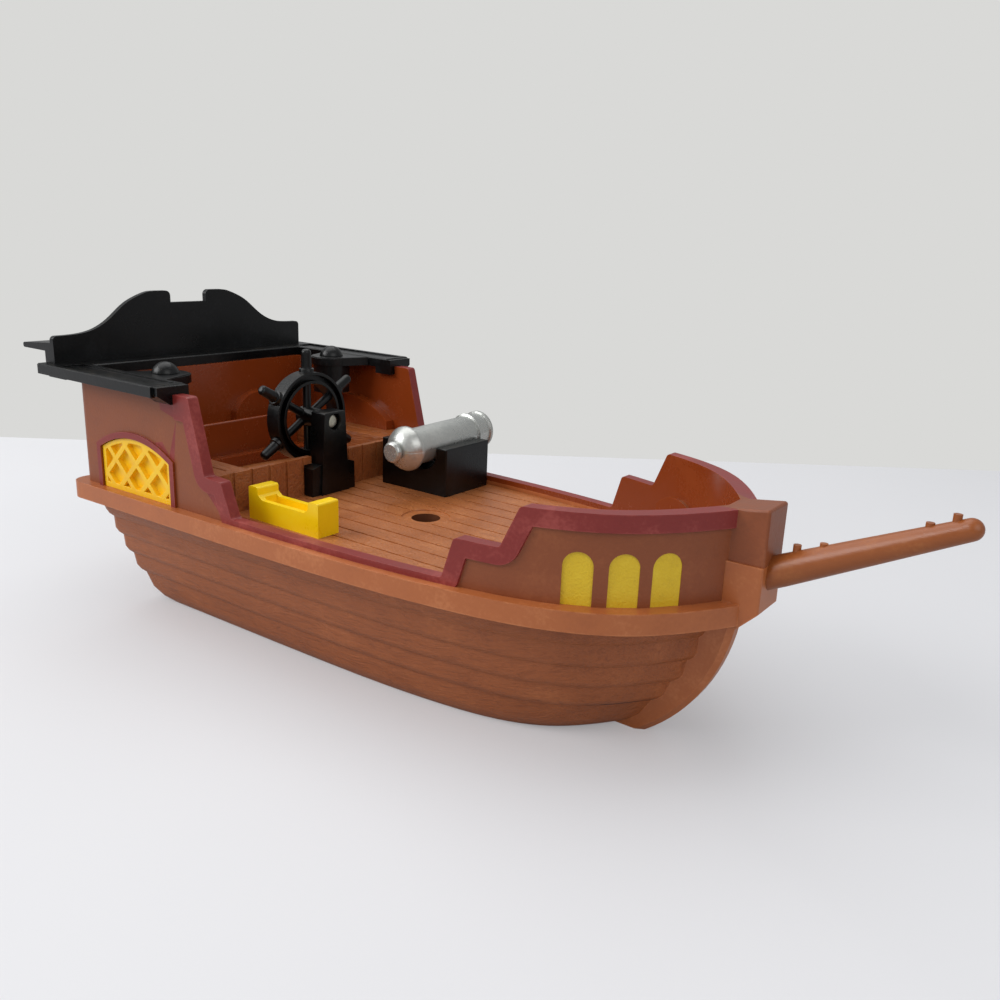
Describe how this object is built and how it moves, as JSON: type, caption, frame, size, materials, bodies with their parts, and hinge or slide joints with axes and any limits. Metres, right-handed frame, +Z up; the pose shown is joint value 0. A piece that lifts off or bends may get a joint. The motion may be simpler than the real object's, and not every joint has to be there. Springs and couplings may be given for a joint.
{
  "type": "toy boat",
  "caption": "Toy sailing ship with a lapstrake hull, stepped bulwark, stern frame, spinning steering wheel, tilting cannon and bowsprit; the mast socket is empty.",
  "frame": {"origin": "on the flat bottom of the hull, below the middle of the hull", "axes": "+X to the bow, +Y to port, +Z up"},
  "size_m": [0.3188, 0.1224, 0.1161],
  "materials": {
    "hull_brown": "satin moulded wood grain",
    "wall_brown": "smooth moulded",
    "deck_brown": "fine pebbled grain",
    "black_plastic": "semi-gloss moulded",
    "silver_plastic": "metallic moulded",
    "silver_metal": "bright rivet head",
    "lattice_yellow": "moulded",
    "rack_yellow": "moulded",
    "spar_brown": "satin moulded",
    "screw_steel": "plated"
  },
  "bodies": {
    "hull": {"hull_shell": "hull_brown", "upper_bulwark": "wall_brown", "main_deck": "deck_brown", "quarter_deck": "deck_brown", "stern_bench": "deck_brown", "lattice_window_port": "lattice_yellow", "lattice_window_starboard": "lattice_yellow", "transom_window_port": "lattice_yellow", "transom_window_starboard": "lattice_yellow", "stern_frame": "black_plastic", "crest_board": "black_plastic", "frame_pins": "black_plastic", "wheel_pedestal": "black_plastic", "cannon_carriage": "black_plastic", "deck_rack": "rack_yellow", "bowsprit": "spar_brown", "hull_screws": "screw_steel"},
    "wheel": {"steering_wheel": "black_plastic", "wheel_axle": "silver_metal"},
    "barrel": {"cannon_barrel_upper": "silver_plastic", "cannon_barrel_lower": "silver_plastic"}
  },
  "joints": [
    {"name": "wheel_spin", "type": "hinge", "parent": "hull", "child": "wheel", "pos_m": [-0.0486, 0, 0.0746], "axis": [1, 0, 0], "continuous": true},
    {"name": "barrel_elevation", "type": "hinge", "parent": "hull", "child": "barrel", "pos_m": [-0.0118, 0.035, 0.0634], "axis": [1, 0, 0], "range_deg": [-4, 9]}
  ]
}
